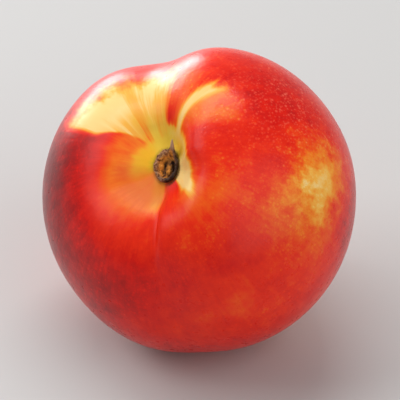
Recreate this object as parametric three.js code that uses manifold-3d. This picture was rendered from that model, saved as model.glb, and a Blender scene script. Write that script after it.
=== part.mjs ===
// A ripe nectarine lying on a level surface, in millimetres, +Z up.
// The origin is the middle of the small flat spot that the fruit rests on.
//
// The fruit's form is written in its own axes: +Z towards the stalk, +X towards the suture and
// +Y towards the larger cheek, with the origin in the middle of the fruit.

import * as THREE from "three";
import { mergeVertices } from "three/addons/utils/BufferGeometryUtils.js";
import Module from "manifold-3d";

// The body, an almost round one.
const CHEEK_RADIUS = 34.1;
const SUTURE_RADIUS = 33.8;
const LARGER_CHEEK = 0.1; // how much further one cheek reaches than the other
const HALF_HEIGHT = 31.3;
const TAPER = 0.012; // how much wider the stalk half is, as a share of the radius

// The hollow round the stalk: its depth, and where its wall is halfway up on each side.
const HOLLOW_DEPTH = 10.5;
const HOLLOW_HALF_LENGTH = 8.8;
const HOLLOW_SMALLER_CHEEK = 9.2;
const HOLLOW_LARGER_CHEEK = 5.9;
const HOLLOW_FRONT_LENGTH = 1.2; // added at the suture, both ways
const HOLLOW_FRONT_WIDTH = 1.6;
const WALL_GENTLE = 2.6; // the power of the wall's curve on the smaller cheek
const WALL_STEEP = 4.2; // and on the larger cheek

// The suture: a fine crease in a soft valley, with the larger cheek raised beside it as a lip.
const CREASE_DEPTH = 1.2;
const CREASE_WIDTH = 1.2;
const CREASE_FAINT = 0.06; // the share of the crease that runs on down the side
const VALLEY_DEPTH = 1.7;
const VALLEY_WIDTH = 7;
const SUTURE_START = 5; // out from the stalk's axis
const SUTURE_DRIFT = 0.07; // sideways, for each millimetre past that
const LIP_HEIGHT = 0.9;
const LIP_WIDTH = 5;

// The shallow valley on the far side of the hollow.
const FAR_VALLEY_DEPTH = 3.4;
const FAR_VALLEY_WIDTH = 8.6;
const FAR_VALLEY_DRIFT = -0.2;

// The smaller cheek's shoulder: how far it stands out, its middle and its spread.
const SHOULDER = 1.3;
const SHOULDER_SIDE = [-0.75, 0.55]; // as a sine of the angle round from the suture
const SHOULDER_HEIGHT = [0.35, 0.45]; // as a cosine of the angle down from the stalk

// The skin's slow unevenness, and the blossom end with its small point.
const SWELL = 0.12;
const TIP_LENGTH = 1.5;
const TIP_RADIUS = 2.6;
const TIP_HOLLOW = 1.2;
const TIP_HOLLOW_RADIUS = 7.5;

// Where each feature starts and is whole. Towards the stalk, up is 1; at the fruit's waist, it is 0.
const HOLLOW_FADE = [0, 0.35];
const CREASE_FADE = [0.74, 0.93];
const VALLEY_FADE = [-0.1, 0.75];
const VALLEY_FAINT = 0.25; // the share of the soft valley that runs on to the tip
const LIP_FADE = [0.45, 0.85];
const FAR_VALLEY_FADE = [-0.3, 0.5];
const TIP_FADE = [0.5, 0.9]; // downwards
const RIM_FADE = [0.06, 0.3]; // outwards from the stalk's axis, which leaves the hollow's floor plain
const FRONT_FADE = [-0.1, 0.5]; // towards the suture
const BACK_FADE = [0.2, 0.9]; // away from the suture
const SHOULDER_BACK_FADE = [-0.3, 0.5];
const CHEEK_FADE = [-0.6, 0.6]; // from the smaller cheek to the larger

// How the fruit lies, in degrees. The stalk leans forwards and to the left, and the suture comes
// down the front.
const STALK_LEAN = 38.5;
const STALK_HEADING = -33;
const SUTURE_TURN = -65.3;
const REST_DEPTH = 1; // how far the flesh is pressed flat underneath

// The woody stub of the stalk, an oval plug in a pocket of the hollow's floor, with a broken top.
const STUB_HALF_LENGTH = 4.1;
const STUB_HALF_WIDTH = 2.95;
const STUB_RISE = 1; // above the floor
const STUB_ROOT = 2.2; // below it
const STUB_CREST = 0.74; // where its rim is highest, as a share of its half length
const STUB_RAGGED = 0.3; // how uneven its top is, as a share of its rise
const SPLINTER_RISE = 2.2;
const SPLINTER_REACH = 1.6;
const SPLINTER_TURN = 150; // round from the suture, in degrees
const SPLINTER_WIDTH = 20; // in degrees
const POCKET_GAP = 0.3;

// How finely the surfaces are faceted.
const COLUMNS = 80;
const ROWS = 48;
const COLUMN_CROWDING = 0.35; // towards the suture
const STALK_CROWDING = 0.2; // of the rows, towards the stalk
const END_CROWDING = 0.25; // of the rows, towards the stalk and the tip alike
const STUB_SIDES = 36;

const wasm = await Module();
wasm.setup();

const { smoothstep, lerp, degToRad } = THREE.MathUtils;
const hill = (distance, width) => Math.exp(-((distance / width) ** 2));

// How deep the hollow is at a place px, py out from the stalk's axis.
function hollowAt(px, py, front, larger, up) {
  const halfLength = HOLLOW_HALF_LENGTH + front * HOLLOW_FRONT_LENGTH;
  const halfWidth =
    lerp(HOLLOW_SMALLER_CHEEK, HOLLOW_LARGER_CHEEK, larger) + front * HOLLOW_FRONT_WIDTH;
  const outward = Math.hypot(px / halfLength, py / halfWidth);
  const power = lerp(WALL_GENTLE, WALL_STEEP, larger);
  return (HOLLOW_DEPTH / (1 + outward ** power)) * smoothstep(up, ...HOLLOW_FADE);
}

// How far the suture's crease, valley and lip sink the skin.
function sutureAt(py, radius, up) {
  const aside = py + SUTURE_DRIFT * (radius - SUTURE_START);
  const strength = lerp(CREASE_FAINT, 1, smoothstep(up, ...CREASE_FADE));
  const crease = CREASE_DEPTH * Math.exp(-Math.abs(aside) / CREASE_WIDTH) * strength;
  const soften = lerp(VALLEY_FAINT, 1, smoothstep(up, ...VALLEY_FADE));
  const valley = VALLEY_DEPTH * hill(aside, VALLEY_WIDTH) * soften;
  const beside = Math.tanh(aside) * Math.exp(-Math.abs(aside) / LIP_WIDTH);
  const lip = LIP_HEIGHT * beside * smoothstep(up, ...LIP_FADE);
  return crease + valley - lip;
}

function shoulderAt(toSuture, toCheek, up) {
  const [side, sideSpread] = SHOULDER_SIDE;
  const [level, levelSpread] = SHOULDER_HEIGHT;
  const place = hill(toCheek - side, sideSpread) * hill(up - level, levelSpread);
  return SHOULDER * place * smoothstep(-toSuture, ...SHOULDER_BACK_FADE);
}

// Two slow waves that cross, so that no two sides of the fruit are quite alike.
function wavesAt(x, y, z) {
  return Math.sin(0.11 * x + 0.19 * y + 1.3) + Math.sin(0.17 * z - 0.12 * x + 0.4);
}

// The skin's place at an angle down from the stalk and an angle round from the suture.
function skinAt(down, round) {
  const [up, level] = [Math.cos(down), Math.sin(down)];
  const [toSuture, toCheek] = [Math.cos(round), Math.sin(round)];
  const middle = (CHEEK_RADIUS + SUTURE_RADIUS) / 2;
  const flattening = ((CHEEK_RADIUS - SUTURE_RADIUS) / 2) * Math.cos(2 * round);
  const girth = middle - flattening + LARGER_CHEEK * toCheek;
  const radius = girth * level * (1 + TAPER * up);
  const [px, py] = [radius * toSuture, radius * toCheek];

  const front = smoothstep(toSuture, ...FRONT_FADE);
  const back = smoothstep(-toSuture, ...BACK_FADE);
  const larger = smoothstep(toCheek, ...CHEEK_FADE);
  const height = HALF_HEIGHT * up - hollowAt(px, py, front, larger, up);

  const rim = smoothstep(level, ...RIM_FADE);
  const near = front * rim * sutureAt(py, radius, up);
  const farAside = py - FAR_VALLEY_DRIFT * radius;
  const far = back * rim * smoothstep(up, ...FAR_VALLEY_FADE);
  const farValley = far * FAR_VALLEY_DEPTH * hill(farAside, FAR_VALLEY_WIDTH);
  const shoulder = shoulderAt(toSuture, toCheek, up);
  const sunk = near + farValley - shoulder - SWELL * wavesAt(px, py, height);

  const under = smoothstep(-up, ...TIP_FADE);
  const tip =
    under * (TIP_LENGTH * hill(radius, TIP_RADIUS) - TIP_HOLLOW * hill(radius, TIP_HOLLOW_RADIUS));
  const out = radius - sunk * level;
  return new THREE.Vector3(out * toSuture, out * toCheek, height - sunk * up - tip);
}

// The whole skin as one closed surface of rings, with a single point at the stalk and at the tip.
function skinGeometry() {
  const points = [skinAt(0, 0)];
  for (let row = 1; row < ROWS; row++) {
    const step = (Math.PI * row) / ROWS;
    const down = step - STALK_CROWDING * Math.sin(step) - END_CROWDING * Math.sin(2 * step);
    for (let column = 0; column < COLUMNS; column++) {
      const turn = (2 * Math.PI * column) / COLUMNS;
      points.push(skinAt(down, turn - COLUMN_CROWDING * Math.sin(turn)));
    }
  }
  points.push(skinAt(Math.PI, 0));

  const last = points.length - 1;
  const place = (row, column) => 1 + (row - 1) * COLUMNS + (column % COLUMNS);
  const faces = [];
  for (let column = 0; column < COLUMNS; column++) {
    faces.push(0, place(1, column), place(1, column + 1));
    faces.push(last, place(ROWS - 1, column + 1), place(ROWS - 1, column));
    for (let row = 1; row < ROWS - 1; row++) {
      const [a, b] = [place(row, column), place(row, column + 1)];
      const [c, d] = [place(row + 1, column), place(row + 1, column + 1)];
      faces.push(a, c, b, b, c, d);
    }
  }
  return new THREE.BufferGeometry().setFromPoints(points).setIndex(faces);
}

// An oval plug with a sunken top, round the stalk's axis and grown by a gap on every side.
function plugGeometry(gap) {
  const wide = STUB_HALF_LENGTH + gap;
  const narrow = STUB_HALF_WIDTH + gap;
  const bottom = -STUB_ROOT - gap;
  const top = STUB_RISE + gap;
  const profile = [
    new THREE.Vector2(0, bottom),
    new THREE.Vector2(0.55 * wide, bottom),
    new THREE.Vector2(0.9 * wide, 0.6 * bottom),
    new THREE.Vector2(wide, 0),
    new THREE.Vector2(0.92 * wide, 0.7 * top),
    new THREE.Vector2(STUB_CREST * wide, top),
    new THREE.Vector2(0.5 * wide, 0.8 * top),
    new THREE.Vector2(0.25 * wide, 0.6 * top),
    new THREE.Vector2(0, 0.5 * top),
  ];
  const plug = new THREE.LatheGeometry(profile, STUB_SIDES);
  return plug.rotateX(Math.PI / 2).scale(1, narrow / wide, 1);
}

// The stub: the plug with its top broken unevenly, and one splinter that stands up and leans out.
function stubGeometry() {
  const stub = plugGeometry(0);
  const position = stub.getAttribute("position");
  const splinterAngle = degToRad(SPLINTER_TURN);
  for (let i = 0; i < position.count; i++) {
    const [x, y, z] = [position.getX(i), position.getY(i), position.getZ(i)];
    if (z <= 0) continue;
    const outward = Math.hypot(x / STUB_HALF_LENGTH, y / STUB_HALF_WIDTH);
    const round = Math.atan2(y, x);
    const ragged = 1 + STUB_RAGGED * outward * (Math.sin(5 * round) + Math.sin(8 * round + 1));
    const turn = round - splinterAngle;
    const aside = Math.atan2(Math.sin(turn), Math.cos(turn));
    const splinter = hill(aside, degToRad(SPLINTER_WIDTH)) * hill(outward - STUB_CREST, 0.15);
    const reach = SPLINTER_REACH * splinter;
    position.setXYZ(
      i,
      x + reach * Math.cos(splinterAngle),
      y + reach * Math.sin(splinterAngle),
      z * ragged + SPLINTER_RISE * splinter,
    );
  }
  return stub;
}

// A closed geometry as a solid, and a solid as a geometry with flat facets.
function solidOf(geometry) {
  const bare = geometry.clone().deleteAttribute("normal").deleteAttribute("uv");
  const merged = mergeVertices(bare, 1e-4);
  const mesh = new wasm.Mesh({
    numProp: 3,
    vertProperties: merged.attributes.position.array,
    triVerts: new Uint32Array(merged.index.array),
  });
  return new wasm.Manifold(mesh);
}

function geometryOf(solid) {
  const { vertProperties, triVerts } = solid.getMesh();
  const geometry = new THREE.BufferGeometry()
    .setAttribute("position", new THREE.BufferAttribute(vertProperties, 3))
    .setIndex(new THREE.BufferAttribute(triVerts, 1))
    .toNonIndexed();
  geometry.computeVertexNormals();
  return geometry;
}

// The turn from the fruit's own axes to how it lies.
function attitude() {
  const lean = new THREE.Matrix4().makeRotationX(degToRad(STALK_LEAN));
  const heading = new THREE.Matrix4().makeRotationZ(degToRad(STALK_HEADING));
  const turn = new THREE.Matrix4().makeRotationZ(degToRad(SUTURE_TURN));
  return heading.multiply(lean).multiply(turn);
}

// The middle of the flat spot, from the corners of the cut that lie in it.
function middleAtLevel(geometry, level) {
  const spot = new THREE.Box3();
  const position = geometry.getAttribute("position");
  for (let i = 0; i < position.count; i++) {
    const corner = new THREE.Vector3().fromBufferAttribute(position, i);
    if (Math.abs(corner.z - level) < 0.001) spot.expandByPoint(corner);
  }
  return spot.getCenter(new THREE.Vector3());
}

const lying = attitude();
const onFloor = new THREE.Matrix4().makeTranslation(0, 0, skinAt(0, 0).z);
const skin = skinGeometry().applyMatrix4(lying);
const stub = stubGeometry().applyMatrix4(onFloor).applyMatrix4(lying);
const pocket = plugGeometry(POCKET_GAP).applyMatrix4(onFloor).applyMatrix4(lying);

// The flesh is cut level a little above its lowest point, and the middle of that cut is the origin.
skin.computeBoundingBox();
const restLevel = skin.boundingBox.min.z + REST_DEPTH;
const flesh = solidOf(skin).subtract(solidOf(pocket)).trimByPlane([0, 0, 1], restLevel);
const toOrigin = middleAtLevel(geometryOf(flesh), restLevel).negate().toArray();

const skinMaterial = new THREE.MeshStandardMaterial({
  name: "nectarine skin",
  color: 0xc8301a,
  roughness: 0.3,
  metalness: 0,
});
const stubMaterial = new THREE.MeshStandardMaterial({
  name: "dry stalk",
  color: 0x5a3a22,
  roughness: 0.85,
  metalness: 0,
});

const fruit = new THREE.Mesh(geometryOf(flesh.translate(toOrigin)), skinMaterial);
fruit.name = "fruit";

const stalkStub = new THREE.Mesh(geometryOf(solidOf(stub).translate(toOrigin)), stubMaterial);
stalkStub.name = "stalk_stub";

const nectarine = new THREE.Group();
nectarine.name = "nectarine";
nectarine.add(fruit, stalkStub);

export default nectarine;
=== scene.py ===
"""A ripe nectarine lying on a pale floor: its skin, the dry stub of its stalk, and soft studio light."""

import math
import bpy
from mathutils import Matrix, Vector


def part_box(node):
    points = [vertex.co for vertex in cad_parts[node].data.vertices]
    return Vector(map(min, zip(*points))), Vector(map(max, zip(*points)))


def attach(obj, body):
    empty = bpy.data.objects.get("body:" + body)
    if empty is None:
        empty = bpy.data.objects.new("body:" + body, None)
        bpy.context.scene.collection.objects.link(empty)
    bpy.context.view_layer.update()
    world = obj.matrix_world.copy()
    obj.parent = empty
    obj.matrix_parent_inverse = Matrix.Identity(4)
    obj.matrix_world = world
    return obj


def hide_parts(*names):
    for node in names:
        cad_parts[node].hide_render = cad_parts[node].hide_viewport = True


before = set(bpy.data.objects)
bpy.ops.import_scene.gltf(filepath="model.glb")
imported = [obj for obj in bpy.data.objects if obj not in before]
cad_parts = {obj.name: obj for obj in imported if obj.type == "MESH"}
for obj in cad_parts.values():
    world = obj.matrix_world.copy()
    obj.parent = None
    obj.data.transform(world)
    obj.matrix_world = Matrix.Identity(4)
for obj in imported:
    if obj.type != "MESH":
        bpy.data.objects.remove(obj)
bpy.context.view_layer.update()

from types import SimpleNamespace

import bpy
import numpy as np
from mathutils import Matrix, Vector

MM = 0.001

# The body's form in the fruit's own axes: +Z towards the stalk, +X towards the suture and +Y towards the
# larger cheek. Sizes are in millimetres. The walls are powers, where a larger one is steeper, and the
# taper, the drifts and the faint ends are shares.
FORM = {
    "cheek_radius": 34.1,
    "suture_radius": 33.8,
    "larger_cheek": 0.1,
    "half_height": 31.3,
    "taper": 0.012,
    "hollow_depth": 10.5,
    "hollow_half_length": 8.8,
    "hollow_smaller_cheek": 9.2,
    "hollow_larger_cheek": 5.9,
    "hollow_front_length": 1.2,
    "hollow_front_width": 1.6,
    "wall_gentle": 2.6,
    "wall_steep": 4.2,
    "crease_depth": 1.2,
    "crease_width": 1.2,
    "crease_faint": 0.02,
    "valley_depth": 1.7,
    "valley_width": 7.0,
    "valley_faint": 0.25,
    "suture_start": 5.0,
    "suture_drift": 0.07,
    "lip_height": 0.9,
    "lip_width": 5.0,
    "far_valley_depth": 3.4,
    "far_valley_width": 8.6,
    "far_valley_drift": -0.2,
    "shoulder": 1.3,
    "swell": 0.12,
    "tip_length": 1.5,
    "tip_radius": 2.6,
    "tip_hollow": 1.2,
    "tip_hollow_radius": 7.5,
    "pocket_depth": 1.6,
    "pocket_half_length": 3.5,
    "pocket_half_width": 2.4,
}

# A fade is a pair of values that a feature comes or goes between, on the way from -1 to 1 up the fruit or
# round it, or out from its axis. The shoulder's two pairs are its middle and its spread.
HOLLOW_FADE = (0.0, 0.35)
CREASE_FADE = (0.74, 0.93)
VALLEY_FADE = (-0.1, 0.75)
LIP_FADE = (0.62, 0.90)
FAR_VALLEY_FADE = (-0.3, 0.5)
TIP_FADE = (0.5, 0.9)
RIM_FADE = (0.06, 0.3)
FRONT_FADE = (-0.1, 0.5)
BACK_FADE = (0.2, 0.9)
SHOULDER_BACK_FADE = (-0.3, 0.5)
CHEEK_FADE = (-0.6, 0.6)
SHOULDER_SIDE = (-0.75, 0.55)
SHOULDER_HEIGHT = (0.35, 0.45)
POCKET_FADE = (0.85, 1.0)
POCKET_UPPER_FADE = (0.0, 0.1)

# Two slow waves in the skin: how fast each turns for a millimetre along its two axes, and where it starts.
LEVEL_WAVE = (0.11, 0.19, 1.3)
UPRIGHT_WAVE = (0.17, 0.12, 0.4)

# The skin's mesh: how many columns and rows, and how closely they crowd.
COLUMNS = 360
ROWS = 256
COLUMN_CROWDING = 0.35
STALK_CROWDING = 0.2
END_CROWDING = 0.25

# The stub's form, in millimetres. The crest is a share of the way out and the dish a share of the rise.
# The torn, ragged and lumps sizes are how far the noise moves the rim's height, its outline and the dish.
# The splinter's width is an angle. The values after the form are its turn in degrees, shares and fades.
STUB_FORM = {
    "half_length": 4.05,
    "half_width": 2.9,
    "rise": 0.85,
    "root": 2.1,
    "crest": 0.80,
    "dish": 1.25,
    "torn": 2.8,
    "ragged": 0.30,
    "lumps": 4.5,
    "splinter_width": math.radians(16.0),
    "splinter_reach": 2.2,
    "splinter_rise": 3.9,
}
SPLINTER_TURN = 143.0
SPLINTER_SPREAD = 0.16
DISH_START = 0.50
ROOT_TAPER = 0.10
STUB_ROUNDING = 0.8
STUB_TOP_FADE = (0.0, 0.6)
ROOT_FADE = (-0.35, 1.0)
TORN_FADE = (0.35, 0.75)
RAGGED_FADE = (0.5, 0.9)
STUB_COLUMNS = 180
STUB_ROWS = 96

# The inputs of both trees that say where a piece stands, in millimetres.
PLACE = ("place_x", "place_y", "place_z")

# How the fruit lies, in degrees.
STALK_LEAN = 38.5
STALK_HEADING = -33.0
SUTURE_TURN = -65.3

# The photograph's view, in degrees and metres, with the sensor in millimetres. The fruit is 98 pixels wide
# there, and the window is how many of those pixels the render shows.
CAMERA_ELEVATION = 35.0
CAMERA_DISTANCE = 1.5
FRUIT_PIXELS = 98.0
WINDOW_PIXELS = 125.0
SENSOR_WIDTH = 36.0
NEAREST_SEEN = 0.05

# The lights: name, direction from the fruit, distance in metres, width and height, and power in watts.
LIGHTS = (
    ("high light", (-0.10, 0.32, 0.94), 0.75, (0.62, 0.18), 2.6),
    ("back light", (-0.45, 0.88, 0.14), 0.70, (0.44, 0.20), 3.2),
    ("left light", (-0.72, 0.02, 0.69), 0.90, (0.56, 0.56), 2.6),
    ("front light", (0.62, -0.65, 0.50), 1.50, (1.80, 1.80), 10.3),
)
STUDIO_WHITE = (1.0, 1.0, 1.0, 1.0)
STUDIO_STRENGTH = 0.30

# The floor: half its width in metres, the two greys that cloud it, and the fade between them.
FLOOR_REACH = 3.0
FLOOR_DARKER = (0.56, 0.555, 0.547)
FLOOR_LIGHTER = (0.59, 0.585, 0.577)
FLOOR_CLOUDS = (0.3, 0.7)


class Term:
    """A number that varies over a surface: a node's output that can be reckoned with."""

    def __init__(self, socket):
        self.socket = socket

    def __add__(self, other):
        return reckon("ADD", self, other)

    def __radd__(self, other):
        return reckon("ADD", other, self)

    def __sub__(self, other):
        return reckon("SUBTRACT", self, other)

    def __rsub__(self, other):
        return reckon("SUBTRACT", other, self)

    def __mul__(self, other):
        return reckon("MULTIPLY", self, other)

    def __rmul__(self, other):
        return reckon("MULTIPLY", other, self)

    def __truediv__(self, other):
        return reckon("DIVIDE", self, other)

    def __rtruediv__(self, other):
        return reckon("DIVIDE", other, self)

    def __pow__(self, other):
        return reckon("POWER", self, other)

    def __neg__(self):
        return reckon("MULTIPLY", self, -1.0)


def feed(slot, value):
    """Links a varying number or vector to a node's input, or sets a plain one on it."""
    if isinstance(value, Term):
        slot.id_data.links.new(value.socket, slot)
    elif isinstance(value, bpy.types.NodeSocket):
        slot.id_data.links.new(value, slot)
    else:
        slot.default_value = value


def reckon(operation, *values):
    tree = next(value.socket.id_data for value in values if isinstance(value, Term))
    node = tree.nodes.new("ShaderNodeMath")
    node.operation = operation
    for slot, value in zip(node.inputs, values):
        feed(slot, value)
    return Term(node.outputs[0])


def sine(angle):
    return reckon("SINE", angle)


def cosine(angle):
    return reckon("COSINE", angle)


def size_of(value):
    return reckon("ABSOLUTE", value)


def fade(value, low, high):
    """0 below low, 1 above high, and an easy curve between."""
    node = value.socket.id_data.nodes.new("ShaderNodeMapRange")
    node.interpolation_type = "SMOOTHSTEP"
    feed(node.inputs["Value"], value)
    feed(node.inputs["From Min"], low)
    feed(node.inputs["From Max"], high)
    return Term(node.outputs[0])


def within(value, whole, end):
    """1 below whole, 0 above end, and an easy curve between."""
    return 1.0 - fade(value, whole, end)


def hill(distance, width):
    """1 where the distance is 0, and almost nothing past twice the width."""
    share = distance / width
    return reckon("EXPONENT", -(share * share))


def between(share, low, high):
    """Low where the share is 0, and high where it is 1."""
    return low + share * (high - low)


def parts_of(vector):
    node = vector.id_data.nodes.new("ShaderNodeSeparateXYZ")
    feed(node.inputs[0], vector)
    return [Term(output) for output in node.outputs]


def vector_of(x, y, z):
    tree = next(value.socket.id_data for value in (x, y, z) if isinstance(value, Term))
    node = tree.nodes.new("ShaderNodeCombineXYZ")
    for slot, value in zip(node.inputs, (x, y, z)):
        feed(slot, value)
    return node.outputs[0]


def hollow_share(px, py, front, larger, size):
    """How deep the hollow is at a place out from the stalk's axis, from 0 to 1."""
    half_length = size["hollow_half_length"] + front * size["hollow_front_length"]
    cheek = between(larger, size["hollow_smaller_cheek"], size["hollow_larger_cheek"])
    half_width = cheek + front * size["hollow_front_width"]
    along, aside = px / half_length, py / half_width
    outward = reckon("SQRT", along * along + aside * aside)
    power = between(larger, size["wall_gentle"], size["wall_steep"])
    return 1.0 / (1.0 + outward**power)


def suture_depth(py, radius, up, size):
    """How far the crease, the soft valley and the raised lip sink the skin, and the crease alone."""
    aside = py + size["suture_drift"] * (radius - size["suture_start"])
    strength = between(fade(up, *CREASE_FADE), size["crease_faint"], 1.0)
    line = reckon("EXPONENT", -size_of(aside) / size["crease_width"]) * strength
    soften = between(fade(up, *VALLEY_FADE), size["valley_faint"], 1.0)
    valley = size["valley_depth"] * hill(aside, size["valley_width"]) * soften
    beside = reckon("TANH", aside) * reckon("EXPONENT", -size_of(aside) / size["lip_width"])
    lip = size["lip_height"] * beside * fade(up, *LIP_FADE)
    return size["crease_depth"] * line + valley - lip, line


def shoulder_height(to_suture, to_cheek, up, size):
    side, side_spread = SHOULDER_SIDE
    level, level_spread = SHOULDER_HEIGHT
    place = hill(to_cheek - side, side_spread) * hill(up - level, level_spread)
    return size["shoulder"] * place * fade(-to_suture, *SHOULDER_BACK_FADE)


def slow_waves(px, py, height):
    along, across, start = LEVEL_WAVE
    upward, backward, second_start = UPRIGHT_WAVE
    first = sine(px * along + py * across + start)
    return first + sine(height * upward - px * backward + second_start)


def skin_place(down, turn, size):
    """The skin's place, in millimetres, at an angle down from the stalk and round from the suture."""
    up, level = cosine(down), sine(down)
    to_suture, to_cheek = cosine(turn), sine(turn)
    middle = (size["cheek_radius"] + size["suture_radius"]) * 0.5
    flattening = (size["cheek_radius"] - size["suture_radius"]) * 0.5 * cosine(turn * 2.0)
    girth = middle - flattening + size["larger_cheek"] * to_cheek
    radius = girth * level * (1.0 + size["taper"] * up)
    px, py = radius * to_suture, radius * to_cheek

    front = fade(to_suture, *FRONT_FADE)
    back = fade(-to_suture, *BACK_FADE)
    larger = fade(to_cheek, *CHEEK_FADE)
    hollow = hollow_share(px, py, front, larger, size) * fade(up, *HOLLOW_FADE)
    height = size["half_height"] * up - size["hollow_depth"] * hollow
    in_pocket = px / size["pocket_half_length"], py / size["pocket_half_width"]
    across = reckon("SQRT", in_pocket[0] * in_pocket[0] + in_pocket[1] * in_pocket[1])
    pocket = size["pocket_depth"] * within(across, *POCKET_FADE) * fade(up, *POCKET_UPPER_FADE)

    rim = fade(level, *RIM_FADE)
    suture, crease = suture_depth(py, radius, up, size)
    far = back * rim * fade(up, *FAR_VALLEY_FADE)
    far_aside = py - size["far_valley_drift"] * radius
    far_valley = far * size["far_valley_depth"] * hill(far_aside, size["far_valley_width"])
    shoulder = shoulder_height(to_suture, to_cheek, up, size)
    sunk = front * rim * suture + far_valley - shoulder - size["swell"] * slow_waves(px, py, height)

    point = size["tip_length"] * hill(radius, size["tip_radius"])
    dimple = size["tip_hollow"] * hill(radius, size["tip_hollow_radius"])
    tip = fade(-up, *TIP_FADE) * (point - dimple)
    out = radius - sunk * level
    place = (out * to_suture, out * to_cheek, height - sunk * up - tip - pocket)
    return place, hollow, crease * front * rim


def turn_to_lie():
    """The turn from the fruit's own axes to how it lies."""
    heading = Matrix.Rotation(math.radians(STALK_HEADING), 3, "Z")
    lean = Matrix.Rotation(math.radians(STALK_LEAN), 3, "X")
    return heading @ lean @ Matrix.Rotation(math.radians(SUTURE_TURN), 3, "Z")


def new_tree(name, form):
    """An empty tree for a modifier, and its named inputs: the form's sizes and the piece's place."""
    tree = bpy.data.node_groups.new(name, "GeometryNodeTree")
    tree.interface.new_socket("Geometry", in_out="OUTPUT", socket_type="NodeSocketGeometry")
    sizes = [*form, *PLACE]
    for size in sizes:
        tree.interface.new_socket(size, in_out="INPUT", socket_type="NodeSocketFloat")
    inputs = tree.nodes.new("NodeGroupInput")
    return tree, {size: Term(inputs.outputs[size]) for size in sizes}


def ball_of(tree, columns, rows):
    """A ball of columns and rows, each point's place on it, and its angles down and round."""
    ball = tree.nodes.new("GeometryNodeMeshUVSphere")
    ball.inputs["Segments"].default_value = columns
    ball.inputs["Rings"].default_value = rows
    ball.inputs["Radius"].default_value = 1.0
    place = tree.nodes.new("GeometryNodeInputPosition").outputs[0]
    x, y, z = parts_of(place)
    down = reckon("ARCCOSINE", reckon("MINIMUM", reckon("MAXIMUM", z, -1.0), 1.0))
    return ball.outputs["Mesh"], place, down, reckon("ARCTAN2", y, x)


def as_it_lies(own, size):
    """A place in the fruit's own axes, turned and moved to where the piece lies, in millimetres."""
    middle = [size[name] for name in PLACE]
    return [sum((own[i] * row[i] for i in range(3)), middle[k]) for k, row in enumerate(turn_to_lie())]


def keep_on_points(tree, mesh, fields):
    """Keeps each named field on the mesh's points while they are still where they started."""
    node = tree.nodes.new("GeometryNodeCaptureAttribute")
    tree.links.new(mesh, node.inputs[0])
    for name, (kind, value) in fields.items():
        node.capture_items.new(kind, name)
        feed(node.inputs[name], value)
    return node


def store(tree, mesh, name, kind, value):
    node = tree.nodes.new("GeometryNodeStoreNamedAttribute")
    node.data_type = "FLOAT_VECTOR" if kind == "VECTOR" else kind
    node.inputs["Name"].default_value = name
    tree.links.new(mesh, node.inputs["Geometry"])
    feed(node.inputs["Value"], value)
    return node.outputs["Geometry"]


def move_points(tree, mesh, lying, fields):
    """Moves each point to where it lies, and stores the named fields of its start on it."""
    lying_field = {"lying": ("VECTOR", vector_of(*(value * MM for value in lying)))}
    kept = keep_on_points(tree, mesh, lying_field | fields)
    put = tree.nodes.new("GeometryNodeSetPosition")
    tree.links.new(kept.outputs["Geometry"], put.inputs["Geometry"])
    tree.links.new(kept.outputs["lying"], put.inputs["Position"])
    mesh = put.outputs[0]
    for name, (kind, _) in fields.items():
        mesh = store(tree, mesh, name, kind, kept.outputs[name])
    return mesh


def fruit_tree(material):
    """The whole fruit as a rule: a ball of rows and columns, each point moved to the skin's place."""
    tree, size = new_tree("fruit form", FORM)
    ball, _, step, around = ball_of(tree, COLUMNS, ROWS)
    down = step - STALK_CROWDING * sine(step) - END_CROWDING * sine(step * 2.0)
    turn = around - COLUMN_CROWDING * sine(around)
    own, hollow, crease = skin_place(down, turn, size)

    # the placed point is pressed flat where it would pass through the floor
    lying = as_it_lies(own, size)
    lying[2] = reckon("MAXIMUM", lying[2], 0.0)
    share = 1.0 / FORM["cheek_radius"]
    fields = {
        "own": ("VECTOR", vector_of(*(value * share for value in own))),
        "hollow": ("FLOAT", hollow),
        "crease": ("FLOAT", crease),
    }
    finish_tree(tree, move_points(tree, ball, lying, fields), material)
    return tree


def finish_tree(tree, mesh, material):
    """Ends a tree: smooth faces, real points and the material."""
    smooth = tree.nodes.new("GeometryNodeSetShadeSmooth")
    tree.links.new(mesh, smooth.inputs["Geometry"])
    real = tree.nodes.new("GeometryNodeRealizeInstances")
    tree.links.new(smooth.outputs[0], real.inputs[0])
    painted = tree.nodes.new("GeometryNodeSetMaterial")
    painted.inputs["Material"].default_value = material
    tree.links.new(real.outputs[0], painted.inputs["Geometry"])
    output = tree.nodes.new("NodeGroupOutput")
    tree.links.new(painted.outputs[0], output.inputs[0])


def grown(tree, form, place, name):
    """A plain mesh grown by a tree with a form's sizes, at a place in millimetres."""
    sizes = form | dict(zip(PLACE, place))
    maker = bpy.data.objects.new(name + " maker", bpy.data.meshes.new(name + " start"))
    bpy.context.scene.collection.objects.link(maker)
    modifier = maker.modifiers.new(name, "NODES")
    modifier.node_group = tree
    for item in tree.interface.items_tree:
        if item.in_out == "INPUT":
            modifier[item.identifier] = float(sizes[item.name])
    graph = bpy.context.evaluated_depsgraph_get()
    mesh = bpy.data.meshes.new_from_object(maker.evaluated_get(graph))
    bpy.data.objects.remove(maker)
    mesh.name = name
    return mesh


def corners(mesh):
    points = np.empty(len(mesh.vertices) * 3)
    mesh.vertices.foreach_get("co", points)
    points = points.reshape(-1, 3)
    return points.min(axis=0), points.max(axis=0)


def middle_over_floor(tree):
    """Where the fruit's middle stands, in millimetres, so that the mesh fills the solid's box."""
    trial = grown(tree, FORM, (0.0, 0.0, 0.0), "trial")
    low, high = corners(trial)
    bpy.data.meshes.remove(trial)
    solid_low, solid_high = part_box("fruit")
    x = (solid_low[0] + solid_high[0] - low[0] - high[0]) / 2
    y = (solid_low[1] + solid_high[1] - low[1] - high[1]) / 2
    z = solid_high[2] - high[2]
    return Vector((x, y, z)) / MM


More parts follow.
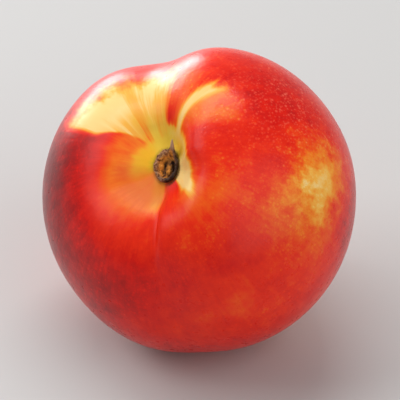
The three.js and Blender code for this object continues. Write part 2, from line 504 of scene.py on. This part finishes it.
def as_piece(mesh, name):
    piece = bpy.data.objects.new(name, mesh)
    bpy.context.scene.collection.objects.link(piece)
    return piece


def make_fruit(material):
    tree = fruit_tree(material)
    middle = middle_over_floor(tree)
    fruit = as_piece(grown(tree, FORM, middle, "nectarine_fruit"), "nectarine_fruit")
    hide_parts("fruit")
    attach(fruit, "root")
    return fruit, middle


# Colours, in linear light. The blush runs from the pale side that had no sun to the side that had most.
BLUSH = (
    (0.00, (1.00, 0.78, 0.34)),
    (0.12, (0.98, 0.49, 0.070)),
    (0.26, (0.96, 0.26, 0.015)),
    (0.40, (0.93, 0.100, 0.005)),
    (0.54, (0.88, 0.024, 0.002)),
    (0.70, (0.72, 0.006, 0.001)),
    (0.86, (0.42, 0.002, 0.002)),
    (1.00, (0.20, 0.002, 0.003)),
)
HOLLOW_GOLD = (0.92, 0.50, 0.007)
HOLLOW_GREEN = (0.68, 0.47, 0.010)
UNRIPE_TINT = (0.78, 0.62, 0.06)
# the hollow's deeper orange at its front left is a painted shade
HOLLOW_SHADE_ORANGE = (0.68, 0.13, 0.006)
PORE_PINK = (0.92, 0.30, 0.20)
SCAR_BROWN = (0.10, 0.035, 0.012)
# the cleft brown is painted shade round the stub
CLEFT_SHADE_BROWN = (0.12, 0.055, 0.008)

# The stub's colours: darker and lighter ones that its grain mixes, the third pair a painted light on its
# lit side, and three plain ones, the first two painted shade in its clefts and on its shaded rim.
PITH = ((0.10, 0.022, 0.004), (0.84, 0.33, 0.05))
RIND = ((0.040, 0.018, 0.012), (0.24, 0.14, 0.095))
LIT_SIDE_RIND = ((0.15, 0.050, 0.016), (0.52, 0.27, 0.14))
CLEFT_SHADE_BLACK = (0.018, 0.006, 0.005)
RIM_SHADE_BLACK = (0.022, 0.010, 0.008)
SPLINTER_PALE = (0.50, 0.33, 0.22)

# The skin's random variation. Streaks have their waves round the stalk and in a degree down, and clouds
# their waves over the skin. Then come the noise's detail, roughness and seed. Stains are a fade of the
# coarse grain, and the guard keeps the stalk's axis from dividing by nothing.
STREAKED_GRAIN = {
    "coarse": (3.2, 0.022, 3.0, 0.55, 1.7),
    "streaks": (9.0, 0.03, 4.0, 0.6, 4.1),
    "hairs": (34.0, 0.06, 3.0, 0.65, 8.3),
}
CLOUDED_GRAIN = {
    "clouds": (2.1, 3.0, 0.5, 2.9),
    "mottle": (9.0, 5.0, 0.72, 5.2),
}
STAINS = (-0.04, 0.16)
AXIS_GUARD = 0.0001

# Blush values, from 0, pale cream, to 1, deepest crimson. The yellow has one towards the larger cheek and
# one towards the smaller. Below them is how much deeper the stains, the wedge's inner part and the
# streak's end are, and how much of the yellow and the gold is lost where the red reaches into the hollow,
# a loss that partly stands for painted shade there. The two glows are paler orange beside the thin streak,
# partly the skin's colour and partly a painted sheen.
SUNNY_BLUSH = 0.61
ORANGE_BLUSH = 0.34
YELLOW_BLUSH = (0.05, 0.15)
BRIGHT_LINE_BLUSH = 0.12
STRIP_BLUSH = 0.02
GLOW_AND_SHEEN_BLUSH = 0.36
LOWER_GLOW_AND_SHEEN_BLUSH = 0.26
GAP_BLUSH = 0.38
WEDGE_BLUSH = 0.04
STREAK_BLUSH = 0.03
STAIN_DEEPER = 0.10
WEDGE_INNER_DEEPER = 0.09
STREAK_END_DEEPER = 0.08
YELLOW_LOST = 0.8
GOLD_LOST = 0.6

# Where the colour changes, in degrees: down from the stalk and round from the suture.
DEEP_RED = (
    # middle, half length and half width, how much deeper
    ((58.0, -102.0), (38.0, 28.0), 0.36),
    ((66.0, -58.0), (24.0, 26.0), 0.23),
    ((60.0, -18.0), (18.0, 24.0), 0.12),
    ((98.0, 82.0), (34.0, 18.0), 0.20),
    ((62.0, 128.0), (24.0, 22.0), 0.12),
    ((100.0, -30.0), (20.0, 60.0), 0.12),
)
BRIGHT_RED = (
    ((36.0, 74.0), (17.0, 18.0), 0.06),
    ((68.0, 26.0), (13.0, 20.0), 0.10),
    ((60.0, 66.0), (12.0, 15.0), 0.18),
    ((84.0, 66.0), (10.0, 10.0), 0.14),
    ((33.0, -52.0), (12.0, 30.0), 0.16),
    ((32.0, 50.0), (8.0, 11.0), 0.14),
    ((150.0, 60.0), (32.0, 46.0), 0.25),
    ((120.0, 170.0), (24.0, 30.0), 0.18),
)

# The pale patch on the larger cheek and the cheek with most pores: their middle's two angles, half length
# and half width. The end of the strip beside the crease has its tilt too.
CHEEK_PATCH = (70.0, 84.0, 12.0, 11.6)
PORED_CHEEK = (66.0, 122.0, 24.0, 24.0)
STRIP_END = (18.6, 49.0, 7.0, 2.7, -32.0)

# Edges of oval patches, as shares of their size: where they are whole and where they end.
PATCH_CORE = (0.2, 1.45)
PATCH_HALO = (0.9, 2.3)
PATCH_CORE_PALER = 0.36
PATCH_HALO_PALER = 0.20
STRIP_CORE = (0.5, 1.45)
STRIP_HALO = (0.8, 2.8)

# Colours in the hollow, by how deep they lie in it, from 0 to 1. The first four have one value towards
# the larger cheek and one towards the smaller. The others are fades, the tinted one by the blush.
ORANGE_START = (0.30, 0.15)
ORANGE_WHOLE = (0.46, 0.42)
YELLOW_START = (0.30, 0.56)
YELLOW_WHOLE = (0.60, 0.78)
BRIGHT_LINE_DEPTH = (0.26, 0.5)
GOLD_DEPTH = (0.34, 0.86)
GREEN_DEPTH = (0.86, 0.97)
TINTED_BLUSH = (0.16, 0.34)
UNRIPE_DEPTH = (0.10, 0.45)
# the deep orange's depth, for the painted shade on the hollow's front-left wall
SHADE_ORANGE_DEPTH = (0.25, 0.60)
PORELESS_DEPTH = (0.04, 0.25)

# Fades across the hollow, in millimetres, and over the fruit's front and stalk halves, as shares.
FOLD_EDGE = (-0.7, 0.2)
SMALLER_CHEEK_SIDE = (-1.0, 1.5)
# the deep orange's side, for the same painted shade
SHADE_ORANGE_SIDE = (-1.5, 1.5)
SHADED_SIDE = (-2.0, 2.0)
SHADED_BACK = (0.0, 3.0)
# across the stub, where the painted shade in its cleft grows stronger
CLEFT_SHADE_SIDE = (-1.0, 1.5)
FRONT_HALF = (0.0, 0.1)
STALK_HALF = (0.0, 0.2)
BRIGHT_LINE_ASIDE = 1.5
BRIGHT_LINE_WIDTH = 1.1

# Fades round the fruit and down from the stalk, in degrees, round from each feature's own middle.
FOLD_ROUND = (27.0, 39.0)
RED_FRONT_ROUND = -28.0
RED_FRONT_HALF_WIDTH = (20.0, 70.0)
UNRIPE_ROUND = -172.0
UNRIPE_HALF_WIDTH = (10.0, 40.0)
WEDGE_ROUND = -146.0
WEDGE_FRONT = (28.5, 33.5)
WEDGE_BACK = (-42.5, -32.5)
WEDGE_HEAD = (10.0, 22.0)
WEDGE_FOOT = (43.0, 60.0)
WEDGE_NARROWING = (16.0, 34.0)
WEDGE_NARROWER = 26.0
WEDGE_INNER = (20.0, 38.0)
STREAK_ROUND = 147.0
STREAK_LEVEL = 30.0
STREAK_SLANT = 0.65
STREAK_HALF_WIDTH = (2.5, 9.5)
STREAK_HEAD = (12.0, 19.0)
STREAK_FOOT = (36.0, 46.0)
STREAK_END = (34.0, 44.0)
# the glows beside the streak are partly the skin's colour and partly a painted sheen
GLOW_ASIDE = 3.0
GLOW_HALF_WIDTH = (6.0, 20.0)
GLOW_FOOT = (27.0, 41.0)
LOWER_GLOW_ASIDE = -17.0
LOWER_GLOW_HALF_WIDTH = (7.0, 24.0)
LOWER_GLOW_HEAD = (14.0, 25.0)
LOWER_GLOW_FOOT = (34.0, 50.0)
GAP_ROUND = 169.0
GAP_HALF_WIDTH = (7.0, 24.0)
GAP_HEAD = (21.0, 31.0)
GAP_FOOT = (40.0, 52.0)

# Pores: how many in the fruit's radius, a seed, and a fade from each dot's middle. Then come fades of
# where they crowd, by a noise and by the blush, and the share that is left elsewhere.
PORES = (25.0, 3.0, (0.10, 0.34))
FINE_PORES = (52.0, 7.0, (0.10, 0.42))
PORE_CROWDS = (0.30, 0.62)
PORED_BLUSH = (0.2, 0.5)
FEWEST_PORES = 0.15

# The brown painted shade in the cleft round the stub, as a share of the stub's size, and its strength on
# the smaller and the larger cheek's side. The dry tip's level is a share of the way down, and its radius
# is in millimetres.
CLEFT_SHADE_RING = (1.0, 1.16)
CLEFT_SHADE_STRENGTH = (0.3, 0.85)
SCAR_LEVEL = (0.7, 0.9)
SCAR_RADIUS = (0.8, 1.4)
SCAR_RAGGED = 1.2

# Finishes: roughness, gloss, and the bump's depth in metres with its strength.
WAX_ROUGHNESS = 0.29
WAX_UNEVEN = 0.18
HOLLOW_ROUGHER = 0.26
CREASE_ROUGHER = 0.10
SCAR_ROUGHER = 0.5
WAX_GLOSS = 0.27
SKIN_BUMP = (0.00012, 0.55)
STALK_ROUGHNESS = 0.66
STALK_UNEVEN = 0.3
STALK_GLOSS = 0.25
STALK_BUMP = (0.0003, 0.8)
FLOOR_ROUGHNESS = 0.7
FLOOR_GLOSS = 0.2

# Fades of the stub's colours: by its grain, across it in millimetres, and outwards as a share.
PITH_GRAIN = (0.76, 1.12)
RIND_GRAIN = (0.35, 0.65)
# the third grain and side fades make a painted light on the stub's lit side
LIT_SIDE_GRAIN = (0.35, 0.62)
LIT_SIDE = (-1.0, 1.4)
RIND_EDGE = (0.58, 0.76)
# the cleft level and the dark side and rim fades place painted shade on the stub
CLEFT_SHADE_LEVEL = (-0.85, 0.05)
STUB_SHADE_SIDE = (0.6, 1.9)
STUB_SHADE_RIM = (0.35, 0.7)
SPLINTER_EDGE = (0.25, 0.7)


def direction(down, around):
    down, around = math.radians(down), math.radians(around)
    level = math.sin(down)
    return Vector((level * math.cos(around), level * math.sin(around), math.cos(down)))


def dot(vector, fixed):
    node = vector.id_data.nodes.new("ShaderNodeVectorMath")
    node.operation = "DOT_PRODUCT"
    feed(node.inputs[0], vector)
    node.inputs[1].default_value = fixed
    return Term(node.outputs["Value"])


def noise(vector, scale, detail=2.0, roughness=0.5, seed=0.0):
    """Soft random variation, from 0 to 1, with 0.5 as its middle."""
    node = vector.id_data.nodes.new("ShaderNodeTexNoise")
    node.noise_dimensions = "4D"
    node.inputs["Scale"].default_value = scale
    node.inputs["Detail"].default_value = detail
    node.inputs["Roughness"].default_value = roughness
    node.inputs["W"].default_value = seed
    feed(node.inputs["Vector"], vector)
    return Term(node.outputs[0])


def dots(vector, scale, seed):
    """How far each place is from the nearest of many scattered dots, as a share of their spacing."""
    shift = vector.id_data.nodes.new("ShaderNodeVectorMath")
    shift.inputs[1].default_value = (seed, seed, seed)
    feed(shift.inputs[0], vector)
    node = vector.id_data.nodes.new("ShaderNodeTexVoronoi")
    node.inputs["Scale"].default_value = scale
    feed(node.inputs["Vector"], shift.outputs[0])
    return Term(node.outputs["Distance"])


def patch(heading, down, around, length, width, tilt=0.0):
    """How far a place is from an oval patch's middle: 1 at the patch's edge, and more behind the fruit."""
    middle = direction(down, around)
    away = (Vector((0, 0, 1)) - middle * middle.z).normalized()
    across = middle.cross(away)
    tilt = math.radians(tilt)
    long_way = away * math.cos(tilt) + across * math.sin(tilt)
    short_way = across * math.cos(tilt) - away * math.sin(tilt)
    along = dot(heading, long_way / math.radians(length))
    aside = dot(heading, short_way / math.radians(width))
    behind = 1.0 - dot(heading, middle)
    return reckon("SQRT", along * along + aside * aside + behind * behind * 4.0)


def round_from(x, y, middle):
    """Degrees round from a middle heading, with no seam near it."""
    c, s = math.cos(math.radians(middle)), math.sin(math.radians(middle))
    angle = reckon("ARCTAN2", y * c - x * s, x * c + y * s)
    return angle * math.degrees(1.0)


def mix(tree, share, low, high):
    node = tree.nodes.new("ShaderNodeMix")
    node.data_type = "RGBA"
    feed(node.inputs[0], share)
    for slot, value in ((node.inputs[6], low), (node.inputs[7], high)):
        feed(slot, value if isinstance(value, bpy.types.NodeSocket) else (*value, 1.0))
    return node.outputs[2]


def ramp(tree, value, stops):
    node = tree.nodes.new("ShaderNodeValToRGB")
    feed(node.inputs[0], value)
    elements = node.color_ramp.elements
    while len(elements) < len(stops):
        elements.new(0.5)
    for element, (place, colour) in zip(elements, stops):
        element.position = place
        element.color = (*colour, 1.0)
    return node.outputs[0]


def bump(tree, height, distance, strength):
    node = tree.nodes.new("ShaderNodeBump")
    node.inputs["Strength"].default_value = strength
    node.inputs["Distance"].default_value = distance
    feed(node.inputs["Height"], height)
    return node.outputs[0]


def attribute(tree, name):
    node = tree.nodes.new("ShaderNodeAttribute")
    node.attribute_name = name
    return node


def new_material(name):
    material = bpy.data.materials.new(name)
    material.use_nodes = True
    tree = material.node_tree
    return material, tree, tree.nodes["Principled BSDF"]


def pull(blush, share, towards):
    """Moves the blush towards a value by a share."""
    return blush + share * (towards - blush)


def pale(blush, share, towards):
    """Pales the blush towards a value by a share, and leaves it where it is paler already."""
    return pull(blush, share, reckon("MINIMUM", blush, towards))


def skin_grain(heading, down, x, y):
    """The skin's random variation: streaks from stalk to tip, slow clouds and fine mottling."""
    level = reckon("SQRT", x * x + y * y) + AXIS_GUARD
    cx, cy = x / level, y / level
    grain = {}
    for name, (waves, waves_down, detail, roughness, seed) in STREAKED_GRAIN.items():
        place = vector_of(cx * waves, cy * waves, down * waves_down)
        grain[name] = noise(place, 1.0, detail, roughness, seed) - 0.5
    for name, (waves, detail, roughness, seed) in CLOUDED_GRAIN.items():
        grain[name] = noise(heading, waves, detail, roughness, seed) - 0.5
    return grain


def stirred(value, grain, **weights):
    """A value made uneven by parts of the skin's grain, each by its weight."""
    for part, weight in weights.items():
        value = value + grain[part] * weight
    return value


def skin_fields(tree):
    """What the skin's colours go by: the place on the fruit, how deep in the hollow, and the grain."""
    own = attribute(tree, "own").outputs["Vector"]
    normalize = tree.nodes.new("ShaderNodeVectorMath")
    normalize.operation = "NORMALIZE"
    feed(normalize.inputs[0], own)
    heading = normalize.outputs[0]
    x, y, z = parts_of(heading)
    down = reckon("ARCCOSINE", z) * math.degrees(1.0)
    own_x, own_y = (value * FORM["cheek_radius"] for value in parts_of(own)[:2])
    return SimpleNamespace(
        own=own,
        own_x=own_x,
        own_y=own_y,
        out=reckon("SQRT", own_x * own_x + own_y * own_y),
        heading=heading,
        x=x,
        y=y,
        z=z,
        down=down,
        hollow=Term(attribute(tree, "hollow").outputs["Fac"]),
        crease=Term(attribute(tree, "crease").outputs["Fac"]),
        grain=skin_grain(heading, down, x, y),
    )


def sun_blush(at):
    """The blush away from the hollow, with the pale patch on the larger cheek."""
    blush = stirred(SUNNY_BLUSH, at.grain, clouds=0.32, coarse=0.14, mottle=0.46, streaks=0.12, hairs=0.18)
    for middle, spread, more in DEEP_RED:
        blush = blush + more * hill(patch(at.heading, *middle, *spread), 1.0)
    for middle, spread, less in BRIGHT_RED:
        blush = blush - less * hill(patch(at.heading, *middle, *spread), 1.0)
    edge = stirred(patch(at.heading, *CHEEK_PATCH), at.grain, mottle=1.4, clouds=0.5)
    halo = PATCH_HALO_PALER * within(edge, *PATCH_HALO)
    return blush - halo - PATCH_CORE_PALER * within(edge, *PATCH_CORE)


def red_and_shade_front(at):
    """1 on the side of the hollow where the red reaches further in, and where its wall is painted in
    shade.
    """
    return within(size_of(round_from(at.x, at.y, RED_FRONT_ROUND)), *RED_FRONT_HALF_WIDTH)


def hollow_blush(blush, at):
    """Pales the hollow, where little sun reached, but for the red fold beside the crease."""
    grain = at.grain
    inside = stirred(at.hollow, grain, streaks=0.26, hairs=0.10, mottle=0.10)
    aside = at.own_y + FORM["suture_drift"] * (at.out - FORM["suture_start"])
    front = fade(at.x, *FRONT_HALF)
    fold = fade(aside, *FOLD_EDGE) * within(round_from(at.x, at.y, 0.0), *FOLD_ROUND) * front
    smaller = fade(-at.own_y, *SMALLER_CHEEK_SIDE)
    orange = fade(inside, between(smaller, *ORANGE_START), between(smaller, *ORANGE_WHOLE)) * (1.0 - fold)
    yellow = fade(inside, between(smaller, *YELLOW_START), between(smaller, *YELLOW_WHOLE)) * (1.0 - fold)
    # the yellow lost at the front left also stands for painted shade there
    yellow = yellow * (1.0 - YELLOW_LOST * red_and_shade_front(at))
    blush = pull(blush, orange, stirred(ORANGE_BLUSH, grain, streaks=0.26, mottle=0.22))
    blush = pull(blush, yellow, stirred(between(smaller, *YELLOW_BLUSH), grain, hairs=0.08))

    # the cream strip's end, and a bright line on the near side of the crease
    strip = stirred(patch(at.heading, *STRIP_END), grain, hairs=0.5)
    blush = pale(blush, 0.8 * within(strip, *STRIP_HALO), ORANGE_BLUSH)
    blush = pale(blush, within(strip, *STRIP_CORE), STRIP_BLUSH)
    line = hill(aside + BRIGHT_LINE_ASIDE, BRIGHT_LINE_WIDTH) * fade(inside, *BRIGHT_LINE_DEPTH) * front
    return pull(blush, line * (1.0 - fold), BRIGHT_LINE_BLUSH)


def wedge_share(at, reach):
    """1 on the pale wedge that widens from the hollow over the far rim."""
    turned = stirred(round_from(at.x, at.y, WEDGE_ROUND), at.grain, streaks=5.0)
    narrower = within(at.down, *WEDGE_NARROWING) * WEDGE_NARROWER
    back_edge = fade(stirred(turned, at.grain, streaks=9.0), *WEDGE_BACK)
    wedge = within(turned + narrower, *WEDGE_FRONT) * back_edge * within(reach, *WEDGE_FOOT)
    return wedge * fade(at.down, *WEDGE_HEAD)


def gap_share(at, reach):
    """1 on the red gap between the wedge and the thin streak."""
    beside = size_of(stirred(round_from(at.x, at.y, GAP_ROUND), at.grain, streaks=14.0))
    gap = within(stirred(beside, at.grain, hairs=8.0), *GAP_HALF_WIDTH)
    return gap * fade(at.down, *GAP_HEAD) * within(reach, *GAP_FOOT)


def streak_blush(blush, at):
    """Pales the wedge and the thin streak that run from the hollow over the far rim."""
    grain, down = at.grain, at.down
    reach = stirred(down, grain, streaks=12.0, clouds=18.0, mottle=14.0)
    slant = (down - STREAK_LEVEL) * STREAK_SLANT
    aside = stirred(round_from(at.x, at.y, STREAK_ROUND) + slant, grain, hairs=6.0)
    head = fade(down, *STREAK_HEAD)
    # the glows pale the skin beside the streak, partly its own colour and partly a painted sheen
    glow = within(size_of(aside - GLOW_ASIDE), *GLOW_HALF_WIDTH) * head * within(reach, *GLOW_FOOT)
    blush = pale(blush, glow * 0.8, GLOW_AND_SHEEN_BLUSH)
    below = within(size_of(aside - LOWER_GLOW_ASIDE), *LOWER_GLOW_HALF_WIDTH)
    below = below * fade(down, *LOWER_GLOW_HEAD) * within(reach, *LOWER_GLOW_FOOT)
    blush = pale(blush, below * 0.75, LOWER_GLOW_AND_SHEEN_BLUSH)
    blush = pull(blush, gap_share(at, reach) * 0.85, stirred(GAP_BLUSH, grain, hairs=0.2))

    stains = fade(stirred(grain["coarse"], grain, hairs=0.4), *STAINS) * STAIN_DEEPER
    inner = within(stirred(down, grain, streaks=10.0), *WEDGE_INNER)
    inner = inner * stirred(WEDGE_INNER_DEEPER, grain, streaks=0.5)
    blush = pull(blush, wedge_share(at, reach), WEDGE_BLUSH + stains + inner)
    thin = within(size_of(aside), *STREAK_HALF_WIDTH) * head * within(reach, *STREAK_FOOT)
    end = fade(down, *STREAK_END) * STREAK_END_DEEPER
    return pull(blush, thin * 0.94, STREAK_BLUSH + stains * 0.5 + end)


def pore_shares(at, blush):
    """Small pale dots of two sizes, and how thickly they lie: more of them on some parts of the cheeks."""
    large, fine = (within(dots(at.own, often, seed), *edge) for often, seed, edge in (PORES, FINE_PORES))
    crowd = fade(noise(at.own, 3.0, seed=6.0), *PORE_CROWDS) + hill(patch(at.heading, *PORED_CHEEK), 1.0)
    crowd = (FEWEST_PORES + crowd * 0.6) * within(at.hollow, *PORELESS_DEPTH) * fade(blush, *PORED_BLUSH)
    return large, fine, crowd


def hollow_colours(tree, colour, blush, at):
    """Tints the hollow: gold, green and unripe where it is pale, and deep orange at its front as a painted
    shade.
    """
    grain, red = at.grain, red_and_shade_front(at)
    shaded = reckon("MAXIMUM", fade(-at.own_y, *SHADED_SIDE), fade(-at.own_x, *SHADED_BACK))
    shaded = shaded * within(blush, *TINTED_BLUSH) * (1.0 - GOLD_LOST * red)
    gold = fade(stirred(at.hollow, grain, hairs=0.16, streaks=0.3), *GOLD_DEPTH) * shaded
    colour = mix(tree, gold * 0.85, colour, HOLLOW_GOLD)
    green = fade(stirred(at.hollow, grain, streaks=0.12), *GREEN_DEPTH) * shaded
    colour = mix(tree, green * 0.8, colour, HOLLOW_GREEN)
    unripe = fade(stirred(at.hollow, grain, streaks=0.5), *UNRIPE_DEPTH) * shaded
    unripe = unripe * within(size_of(round_from(at.x, at.y, UNRIPE_ROUND)), *UNRIPE_HALF_WIDTH)
    colour = mix(tree, unripe * 0.6, colour, UNRIPE_TINT)
    # a painted shade: deeper orange on the hollow's front-left wall
    orange = fade(stirred(at.hollow, grain, streaks=0.4), *SHADE_ORANGE_DEPTH) * red
    orange = orange * fade(-at.own_y, *SHADE_ORANGE_SIDE) * fade(at.z, *STALK_HALF)
    return mix(tree, orange * 0.7, colour, HOLLOW_SHADE_ORANGE)


def cleft_shade_share(at):
    """1 in the cleft round the stub, where a brown shade is painted, stronger on the larger cheek's side.
    """
    along, aside = at.own_x / STUB_FORM["half_length"], at.own_y / STUB_FORM["half_width"]
    ring = reckon("SQRT", along * along + aside * aside)
    ring = within(stirred(ring, at.grain, hairs=0.2), *CLEFT_SHADE_RING)
    return ring * between(fade(at.own_y, *CLEFT_SHADE_SIDE), *CLEFT_SHADE_STRENGTH) * fade(at.z, *STALK_HALF)


def scar_share(at):
    """1 on the dry tip where the flower was."""
    ragged = at.out + (noise(at.own, 60.0, 3.0, 0.6, seed=1.0) - 0.5) * SCAR_RAGGED
    return fade(-at.z, *SCAR_LEVEL) * within(ragged, *SCAR_RADIUS)


def skin_finish():
    """The nectarine's skin: blushed, finely streaked, dotted with pores, and waxy."""
    material, tree, shader = new_material("nectarine skin")
    at = skin_fields(tree)
    blush = streak_blush(hollow_blush(sun_blush(at), at), at)
    pores, fine_pores, crowd = pore_shares(at, blush)
    blush = blush - (pores * 0.12 + fine_pores * 0.10) * crowd

    scar = scar_share(at)
    colour = ramp(tree, reckon("MAXIMUM", blush, 0.0), BLUSH)
    paler = (pores * 0.5 + fine_pores * 0.5) * hill(patch(at.heading, *PORED_CHEEK), 1.0)
    colour = mix(tree, paler * 0.5, colour, PORE_PINK)
    colour = hollow_colours(tree, colour, blush, at)
    # painted shade in the cleft round the stub
    colour = mix(tree, cleft_shade_share(at), colour, CLEFT_SHADE_BROWN)
    colour = mix(tree, scar, colour, SCAR_BROWN)
    feed(shader.inputs["Base Color"], colour)

    wax = noise(at.own, 16.0, 3.0, 0.6, seed=2.0)
    rough = WAX_ROUGHNESS + (wax - 0.5) * WAX_UNEVEN + at.hollow * HOLLOW_ROUGHER
    rough = rough + at.crease * CREASE_ROUGHER + scar * SCAR_ROUGHER
    feed(shader.inputs["Roughness"], rough)
    shader.inputs["Specular IOR Level"].default_value = WAX_GLOSS

    fine = noise(at.own, 42.0, 3.0, 0.55, seed=9.0)
    slow = noise(at.own, 9.0, seed=4.0)
    height = fine * 0.5 + slow * 1.6 - pores * crowd * 0.3
    feed(shader.inputs["Normal"], bump(tree, height, *SKIN_BUMP))
    return material


def stub_place(step, around, chunks, fibres, size):
    """The stub's place, in millimetres from the hollow's floor, and how far out it is."""
    up, level = cosine(step), sine(step)
    outward = reckon("POWER", reckon("MAXIMUM", level, 0.0), STUB_ROUNDING)
    top = fade(up, *STUB_TOP_FADE)
    dish = within(outward, DISH_START, size["crest"])
    rim = size["rise"] + fibres * size["torn"] * fade(outward, *TORN_FADE)
    floor = size["rise"] * (1.0 - size["dish"]) + chunks * size["lumps"]
    height = top * between(dish, rim, floor)
    height = height - (1.0 - top) * size["root"] * fade(-up, *ROOT_FADE)

    angle = math.radians(SPLINTER_TURN)
    aside = reckon("ARCTAN2", sine(around - angle), cosine(around - angle))
    by_the_crest = hill(outward - size["crest"], SPLINTER_SPREAD)
    splinter = hill(aside, size["splinter_width"]) * by_the_crest * top
    reach = splinter * size["splinter_reach"]
    girth = 1.0 - (1.0 - top) * ROOT_TAPER + fibres * size["ragged"] * fade(outward, *RAGGED_FADE)
    x = outward * girth * cosine(around) * size["half_length"] + reach * math.cos(angle)
    y = outward * girth * sine(around) * size["half_width"] + reach * math.sin(angle)
    return (x, y, height + splinter * size["splinter_rise"]), outward, splinter


def stub_tree(material):
    """The stub as a rule: a ball's rows and columns, moved to a torn, dished plug."""
    tree, size = new_tree("stalk stub form", STUB_FORM)
    ball, start, step, around = ball_of(tree, STUB_COLUMNS, STUB_ROWS)
    x, y, z = parts_of(start)
    chunks = noise(start, 1.9, seed=3.0) - 0.5
    fibres = noise(vector_of(x * 2.6, y * 2.6, z * 0.6), 1.0, 4.0, 0.55, seed=5.0) - 0.5
    own, outward, splinter = stub_place(step, around, chunks, fibres, size)
    fields = {
        "own": ("VECTOR", vector_of(*own)),
        "outward": ("FLOAT", outward),
        "splinter": ("FLOAT", splinter),
    }
    finish_tree(tree, move_points(tree, ball, as_it_lies(own, size), fields), material)
    return tree


def stub_finish():
    """Dry stalk: a grey-brown torn rim, orange-brown pith, painted shade in the clefts and on one side,
    and painted light on the other.
    """
    material, tree, shader = new_material("dry stalk")
    place = attribute(tree, "own").outputs["Vector"]
    outward = Term(attribute(tree, "outward").outputs["Fac"])
    splinter = Term(attribute(tree, "splinter").outputs["Fac"])
    x, y, z = parts_of(place)
    grain = noise(vector_of(x * 2.2, y * 2.2, z * 0.7), 1.0, 4.0, 0.65, seed=2.0)
    lumps = noise(place, 0.8, seed=7.0)
    uneven = lumps - 0.5

    # the rind is painted paler on the side away from the larger cheek, a painted light on its lit side
    pith = mix(tree, fade(grain + lumps, *PITH_GRAIN), *PITH)
    rind = mix(tree, fade(grain, *RIND_GRAIN), *RIND)
    lit_rind = mix(tree, fade(grain, *LIT_SIDE_GRAIN), *LIT_SIDE_RIND)
    rind = mix(tree, fade(-y - x * 0.3 + uneven * 3.0, *LIT_SIDE), rind, lit_rind)
    colour = mix(tree, fade(outward + uneven * 0.4, *RIND_EDGE), pith, rind)

    # the clefts are painted in shade, and so is the rim by the crease and beside the larger cheek
    deep = within(z - y * 0.28 + uneven * 0.5, *CLEFT_SHADE_LEVEL)
    colour = mix(tree, deep * 0.9, colour, CLEFT_SHADE_BLACK)
    dark = fade(x * 0.35 + y * 0.6 + uneven * 1.5, *STUB_SHADE_SIDE) * fade(outward, *STUB_SHADE_RIM)
    colour = mix(tree, dark * 0.85, colour, RIM_SHADE_BLACK)
    colour = mix(tree, fade(splinter, *SPLINTER_EDGE), colour, SPLINTER_PALE)
    feed(shader.inputs["Base Color"], colour)
    feed(shader.inputs["Roughness"], STALK_ROUGHNESS + (grain - 0.5) * STALK_UNEVEN)
    shader.inputs["Specular IOR Level"].default_value = STALK_GLOSS
    feed(shader.inputs["Normal"], bump(tree, grain + lumps, *STALK_BUMP))
    return material


def make_stub(material, middle, floor):
    """The stub stands on the hollow's floor, along the stalk's axis."""
    root = middle + turn_to_lie() @ Vector((0.0, 0.0, floor))
    stub = as_piece(grown(stub_tree(material), STUB_FORM, root, "dry_stalk_stub"), "dry_stalk_stub")
    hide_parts("stalk_stub")
    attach(stub, "root")
    return stub


def hollow_floor(fruit):
    """The height of the hollow's deepest point in the fruit's own axes, in millimetres."""
    data = fruit.data.attributes["own"].data
    own = np.empty(len(data) * 3)
    data.foreach_get("vector", own)
    own = own.reshape(-1, 3)
    upper = own[own[:, 2] > 0.0]
    nearest = np.argmin(np.hypot(upper[:, 0], upper[:, 1]))
    return float(upper[nearest, 2]) * FORM["cheek_radius"] + FORM["pocket_depth"]


def make_floor():
    material, tree, shader = new_material("pale floor")
    coordinates = tree.nodes.new("ShaderNodeTexCoord").outputs["Object"]
    cloud = noise(coordinates, 3.0, 3.0, seed=1.0)
    tint = mix(tree, fade(cloud, *FLOOR_CLOUDS), FLOOR_DARKER, FLOOR_LIGHTER)
    feed(shader.inputs["Base Color"], tint)
    shader.inputs["Roughness"].default_value = FLOOR_ROUGHNESS
    shader.inputs["Specular IOR Level"].default_value = FLOOR_GLOSS
    mesh = bpy.data.meshes.new("floor")
    ends = ((-1, -1), (1, -1), (1, 1), (-1, 1))
    points = [(x * FLOOR_REACH, y * FLOOR_REACH, 0.0) for x, y in ends]
    mesh.from_pydata(points, [], [(0, 1, 2, 3)])
    mesh.materials.append(material)
    floor = as_piece(mesh, "floor")


def soft_light(name, towards, distance, size, power, aim):
    """A rectangle of light that faces the fruit from one direction."""
    lamp = bpy.data.lights.new(name, "AREA")
    lamp.shape = "RECTANGLE"
    lamp.size, lamp.size_y = size
    lamp.energy = power
    holder = bpy.data.objects.new(name, lamp)
    bpy.context.scene.collection.objects.link(holder)
    heading = Vector(towards).normalized()
    holder.location = aim + heading * distance
    holder.rotation_euler = heading.to_track_quat("Z", "Y").to_euler()
    holder.visible_camera = False


def make_light(aim):
    world = bpy.data.worlds.new("studio")
    bpy.context.scene.world = world
    world.use_nodes = True
    background = world.node_tree.nodes["Background"]
    background.inputs["Color"].default_value = STUDIO_WHITE
    background.inputs["Strength"].default_value = STUDIO_STRENGTH
    for light in LIGHTS:
        soft_light(*light, aim)


def make_camera(aim):
    camera = bpy.data.cameras.new("camera")
    camera.sensor_width = SENSOR_WIDTH
    low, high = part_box("fruit")
    width = (high[0] - low[0]) * WINDOW_PIXELS / FRUIT_PIXELS
    camera.lens = SENSOR_WIDTH * CAMERA_DISTANCE / width
    camera.clip_start = NEAREST_SEEN
    holder = bpy.data.objects.new("camera", camera)
    bpy.context.scene.collection.objects.link(holder)
    elevation = math.radians(CAMERA_ELEVATION)
    back = Vector((0.0, -math.cos(elevation), math.sin(elevation)))
    holder.location = aim + back * CAMERA_DISTANCE
    holder.rotation_euler = back.to_track_quat("Z", "Y").to_euler()
    bpy.context.scene.camera = holder


def main():
    fruit, middle = make_fruit(skin_finish())
    make_stub(stub_finish(), middle, hollow_floor(fruit))
    aim = middle * MM
    make_floor()
    make_light(aim)
    make_camera(aim)
    bpy.context.scene.view_settings.view_transform = "Standard"


main()
